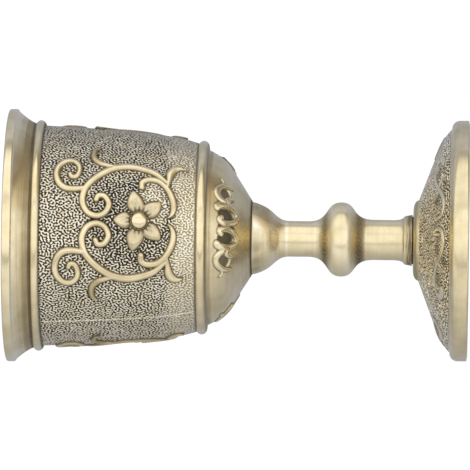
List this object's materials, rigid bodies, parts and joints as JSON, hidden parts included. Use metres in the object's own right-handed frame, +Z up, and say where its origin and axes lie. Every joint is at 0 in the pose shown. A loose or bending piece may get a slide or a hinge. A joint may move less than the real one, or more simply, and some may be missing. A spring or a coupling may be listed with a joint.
{
  "type": "wine goblet",
  "caption": "Small footed metal goblet with a flared lip, a belt of raised scrolls and flowers on stippled ground, a baluster stem with a knop, and a domed foot.",
  "frame": {"origin": "on the goblet's axis, at the surface that the foot stands on", "axes": "+Z up along the axis towards the mouth; -Y faces the picture's camera"},
  "size_m": [0.044, 0.044, 0.08],
  "materials": {
    "antique_brass": "antique brass: satin polished raised surfaces, dark brown patina in the recesses",
    "zinc_steel": "bright zinc-plated steel"
  },
  "bodies": {
    "root": {"cup_bowl": "antique_brass", "stem": "antique_brass", "foot": "antique_brass", "bowl_stud": "zinc_steel", "foot_screw": "zinc_steel", "spring_washer": "zinc_steel", "flat_washer": "zinc_steel"}
  },
  "joints": []
}
